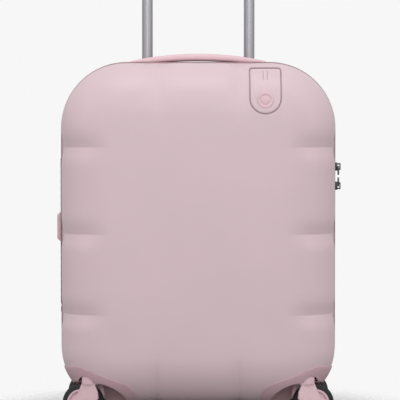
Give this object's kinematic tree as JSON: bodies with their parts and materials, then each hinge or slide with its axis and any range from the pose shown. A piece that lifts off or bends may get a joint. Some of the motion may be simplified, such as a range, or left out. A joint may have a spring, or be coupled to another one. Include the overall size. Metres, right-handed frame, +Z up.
{
  "type": "hard shell suitcase on wheels",
  "caption": "Clamshell hard suitcase with a zip, telescopic handle, carrying handles, combination lock, luggage tag and swivelling twin casters.",
  "frame": {"origin": "centre of the floor footprint, on the floor under the middle of the case", "axes": "+Z up, -Y towards the front face, +X towards the lock side"},
  "size_m": [0.4168, 0.203, 1.008],
  "materials": {
    "shell": "moulded shell with a fine satin grain",
    "guard": "smooth satin moulded corner guard",
    "handle_cover": "soft satin moulding",
    "housing": "matte moulded housing",
    "zip_tape": "woven nylon tape",
    "zip_teeth": "nylon coil",
    "zip_metal": "dark gunmetal plating",
    "lining": "woven polyester lining",
    "webbing": "ribbed elastic webbing",
    "buckle": "moulded acetal",
    "card": "plain card",
    "tube_outer": "anodised drawn tube",
    "tube": "bright brushed drawn tube",
    "grip": "soft-touch moulding",
    "steel": "turned and plated",
    "tyre": "polyurethane tread",
    "dial": "moulded dial",
    "bush": "plain acetal bush"
  },
  "bodies": {
    "case": {"rear_shell": "shell", "rear_zip_tape": "zip_tape", "rear_zip_teeth": "zip_teeth", "hinge_web": "webbing", "rear_lining": "lining", "packing_straps": "webbing", "strap_buckle": "buckle", "rear_guard_left": "guard", "rear_guard_right": "guard", "swivel_bearings_rear": "bush", "handle_bezel": "housing", "outer_tubes": "tube_outer", "tube_feet": "buckle", "handle_tray": "housing", "side_handle_cup": "housing", "lock_body": "handle_cover", "zip_end_stop": "zip_metal", "back_skids": "guard"},
    "lid": {"front_shell": "shell", "front_zip_tape": "zip_tape", "front_zip_teeth": "zip_teeth", "front_lining": "lining", "front_guard_left": "guard", "front_guard_right": "guard", "swivel_bearings_front": "bush", "tag_tray": "housing", "address_card": "card"},
    "tag": {"tag_flap": "shell", "tag_badge": "handle_cover"},
    "middle_stage": {"middle_tubes": "tube"},
    "inner_stage": {"inner_tubes": "tube", "pull_grip": "grip"},
    "release": {"grip_button": "handle_cover", "release_rods": "steel"},
    "carry_handle": {"top_handle": "handle_cover"},
    "side_carry_handle": {"side_handle": "handle_cover"},
    "dial_1": {"lock_dial_1": "dial"},
    "dial_2": {"lock_dial_2": "dial"},
    "dial_3": {"lock_dial_3": "dial"},
    "lock_catch": {"lock_release": "zip_metal"},
    "upper_slider": {"upper_zip_slider": "zip_metal"},
    "upper_puller": {"upper_zip_puller": "zip_metal"},
    "lower_slider": {"lower_zip_slider": "zip_metal"},
    "lower_puller": {"lower_zip_puller": "zip_metal"},
    "fork_front_left": {"fork_front_left": "guard", "axle_front_left": "steel"},
    "wheels_front_left": {"hubs_front_left": "handle_cover", "tyres_front_left": "tyre"},
    "fork_front_right": {"fork_front_right": "guard", "axle_front_right": "steel"},
    "wheels_front_right": {"hubs_front_right": "handle_cover", "tyres_front_right": "tyre"},
    "fork_rear_left": {"fork_rear_left": "guard", "axle_rear_left": "steel"},
    "wheels_rear_left": {"hubs_rear_left": "handle_cover", "tyres_rear_left": "tyre"},
    "fork_rear_right": {"fork_rear_right": "guard", "axle_rear_right": "steel"},
    "wheels_rear_right": {"hubs_rear_right": "handle_cover", "tyres_rear_right": "tyre"}
  },
  "joints": [
    {"name": "lid_hinge", "type": "hinge", "parent": "case", "child": "lid", "pos_m": [-0.201, 0, 0.274], "axis": [0, 0, -1], "range_deg": [0, 140]},
    {"name": "tag_hinge", "type": "hinge", "parent": "lid", "child": "tag", "pos_m": [0.0954, -0.0726, 0.5101], "axis": [-1, 0, 0], "range_deg": [0, 100]},
    {"name": "middle_slide", "type": "slide", "parent": "case", "child": "middle_stage", "axis": [0, 0, 1], "range_m": [-0.255, 0]},
    {"name": "inner_slide", "type": "slide", "parent": "middle_stage", "child": "inner_stage", "axis": [0, 0, 1], "range_m": [-0.25, 0]},
    {"name": "button_press", "type": "slide", "parent": "inner_stage", "child": "release", "axis": [0, 0, 1], "range_m": [-0.003, 0], "stiffness_N_per_m": 600, "springref_m": 0.004},
    {"name": "top_handle_lift", "type": "slide", "parent": "case", "child": "carry_handle", "axis": [0, 0, 1], "range_m": [0, 0.01], "stiffness_N_per_m": 150},
    {"name": "side_handle_pull", "type": "slide", "parent": "case", "child": "side_carry_handle", "axis": [-1, 0, 0], "range_m": [0, 0.008], "stiffness_N_per_m": 150},
    {"name": "lock_catch_slide", "type": "slide", "parent": "case", "child": "lock_catch", "axis": [0, 0, 1], "range_m": [0, 0.005], "stiffness_N_per_m": 200},
    {"name": "upper_zip_slide", "type": "slide", "parent": "case", "child": "upper_slider", "axis": [0, 0, 1], "range_m": [0, 0.05]},
    {"name": "upper_puller_swing", "type": "hinge", "parent": "upper_slider", "child": "upper_puller", "pos_m": [0.2051, 0, 0.368], "axis": [0, -1, 0], "range_deg": [0, 165]},
    {"name": "lower_zip_slide", "type": "slide", "parent": "case", "child": "lower_slider", "axis": [0, 0, 1], "range_m": [-0.2, 0]},
    {"name": "lower_puller_swing", "type": "hinge", "parent": "lower_slider", "child": "lower_puller", "pos_m": [0.2051, 0, 0.34], "axis": [0, 1, 0], "range_deg": [0, 165]},
    {"name": "dial_1_turn", "type": "hinge", "parent": "case", "child": "dial_1", "pos_m": [0.1953, 0.0265, 0.3306], "axis": [0, 0, 1], "continuous": true},
    {"name": "dial_2_turn", "type": "hinge", "parent": "case", "child": "dial_2", "pos_m": [0.1953, 0.0265, 0.338], "axis": [0, 0, 1], "continuous": true},
    {"name": "dial_3_turn", "type": "hinge", "parent": "case", "child": "dial_3", "pos_m": [0.1953, 0.0265, 0.3454], "axis": [0, 0, 1], "continuous": true},
    {"name": "swivel_front_left", "type": "hinge", "parent": "lid", "child": "fork_front_left", "pos_m": [-0.153, -0.07, 0.083], "axis": [0, 0, 1], "continuous": true},
    {"name": "spin_front_left", "type": "hinge", "parent": "fork_front_left", "child": "wheels_front_left", "pos_m": [-0.16495, -0.06635, 0.029], "axis": [-0.2924, -0.9563, 0], "continuous": true},
    {"name": "swivel_front_right", "type": "hinge", "parent": "lid", "child": "fork_front_right", "pos_m": [0.153, -0.07, 0.083], "axis": [0, 0, 1], "continuous": true},
    {"name": "spin_front_right", "type": "hinge", "parent": "fork_front_right", "child": "wheels_front_right", "pos_m": [0.16495, -0.06635, 0.029], "axis": [-0.2924, 0.9563, 0], "continuous": true},
    {"name": "swivel_rear_left", "type": "hinge", "parent": "case", "child": "fork_rear_left", "pos_m": [-0.153, 0.07, 0.083], "axis": [0, 0, 1], "continuous": true},
    {"name": "spin_rear_left", "type": "hinge", "parent": "fork_rear_left", "child": "wheels_rear_left", "pos_m": [-0.16495, 0.06635, 0.029], "axis": [0.2924, -0.9563, 0], "continuous": true},
    {"name": "swivel_rear_right", "type": "hinge", "parent": "case", "child": "fork_rear_right", "pos_m": [0.153, 0.07, 0.083], "axis": [0, 0, 1], "continuous": true},
    {"name": "spin_rear_right", "type": "hinge", "parent": "fork_rear_right", "child": "wheels_rear_right", "pos_m": [0.16495, 0.06635, 0.029], "axis": [0.2924, 0.9563, 0], "continuous": true}
  ]
}
